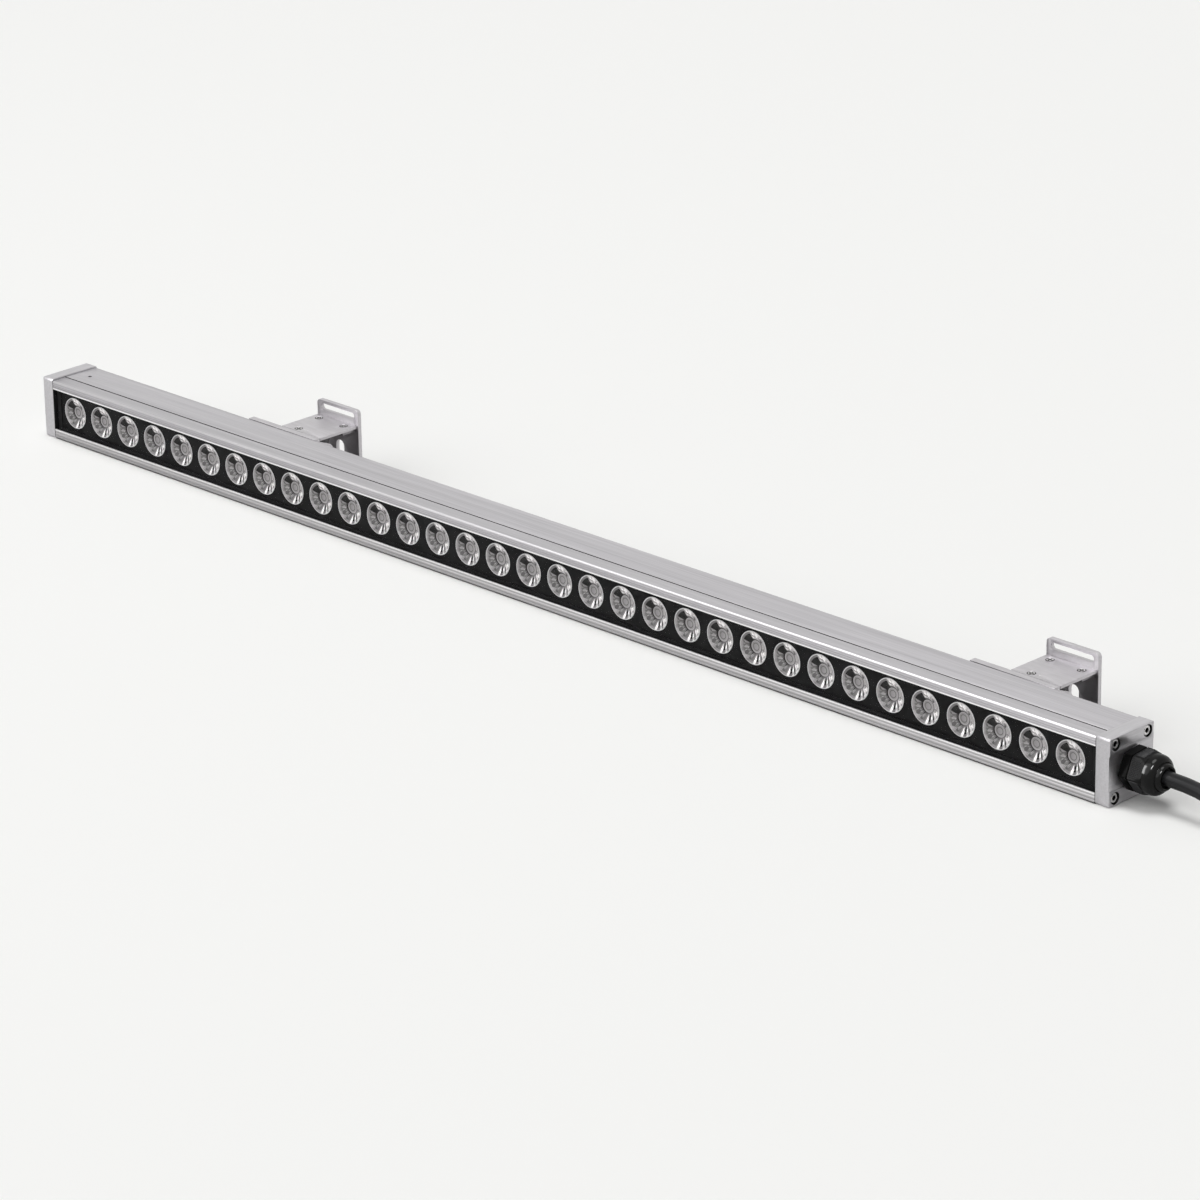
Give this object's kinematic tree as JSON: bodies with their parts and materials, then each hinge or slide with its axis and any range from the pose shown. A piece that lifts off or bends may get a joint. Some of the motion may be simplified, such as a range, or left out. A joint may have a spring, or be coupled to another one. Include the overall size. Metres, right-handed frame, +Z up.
{
  "type": "outdoor wall washer light",
  "caption": "Slim aluminium bar light with a row of round lenses, on sliding and tilting wall brackets, with a cable gland and a coiled supply cable.",
  "frame": {"origin": "middle of the face that the bar rests on, under the middle of the bar", "axes": "+X along the bar towards the cable, -Y out of the lenses, +Z up"},
  "size_m": [1.1922, 0.1428, 0.0554],
  "materials": {
    "anodised_aluminium": "satin anodised, brushed along the length",
    "cap_aluminium": "satin anodised, fine grain",
    "bracket_aluminium": "satin anodised",
    "steel": "stainless, bright",
    "clear_glass": "clear, polished",
    "clear_plastic": "clear, moulded",
    "black_plastic": "black, satin",
    "black_rubber": "black, matt",
    "cable_rubber": "black, matt, lightly ribbed by its cores",
    "white_board": "white coated metal core board",
    "light_source": "pale yellow dome on a white base",
    "grey_pad": "soft grey pad",
    "green_board": "green circuit board",
    "core_plastic": "insulation, one colour for each core",
    "tin": "tinned copper sleeve"
  },
  "bodies": {
    "housing": {"housing": "anodised_aluminium", "end_cap_left": "cap_aluminium", "end_cap_right": "cap_aluminium", "gasket_left": "black_rubber", "gasket_right": "black_rubber", "cap_screws_left": "steel", "cap_screws_right": "steel", "front_glass": "clear_glass", "glass_seal": "black_rubber", "lens_panel": "black_plastic", "lenses": "clear_plastic", "light_board": "white_board", "light_sources": "light_source", "thermal_pad": "grey_pad", "board_screws": "steel", "driver_board": "green_board", "driver_parts": "black_plastic", "inner_leads": "black_rubber", "top_set_screw": "steel", "gland_ring": "black_rubber", "gland_body": "black_plastic", "gland_sleeve": "black_rubber", "gland_nut": "black_plastic", "cable_run": "cable_rubber", "cable_coil": "cable_rubber", "cable_cores": "core_plastic", "core_ferrules": "tin"},
    "left_slider": {"left_back_plate": "bracket_aluminium", "left_clamp_screws": "steel", "left_slot_nuts": "steel", "left_pivot_bolt": "steel", "left_pivot_washers": "steel", "left_pivot_nut": "steel"},
    "left_swing": {"left_hinge_block": "bracket_aluminium", "left_arm": "bracket_aluminium", "left_wall_plate": "bracket_aluminium", "left_arm_screws": "steel", "left_pin": "steel"},
    "right_slider": {"right_back_plate": "bracket_aluminium", "right_clamp_screws": "steel", "right_slot_nuts": "steel", "right_pivot_bolt": "steel", "right_pivot_washers": "steel", "right_pivot_nut": "steel"},
    "right_swing": {"right_hinge_block": "bracket_aluminium", "right_arm": "bracket_aluminium", "right_wall_plate": "bracket_aluminium", "right_arm_screws": "steel", "right_pin": "steel"}
  },
  "joints": [
    {"name": "left_slide", "type": "slide", "parent": "housing", "child": "left_slider", "axis": [1, 0, 0], "range_m": [-0.16, 0.25]},
    {"name": "left_tilt", "type": "hinge", "parent": "left_slider", "child": "left_swing", "pos_m": [-0.273, 0.0305, 0.031], "axis": [1, 0, 0], "range_deg": [-80, 0]},
    {"name": "right_slide", "type": "slide", "parent": "housing", "child": "right_slider", "axis": [1, 0, 0], "range_m": [-0.35, 0.06]},
    {"name": "right_tilt", "type": "hinge", "parent": "right_slider", "child": "right_swing", "pos_m": [0.402, 0.0305, 0.031], "axis": [1, 0, 0], "range_deg": [-80, 0]}
  ]
}
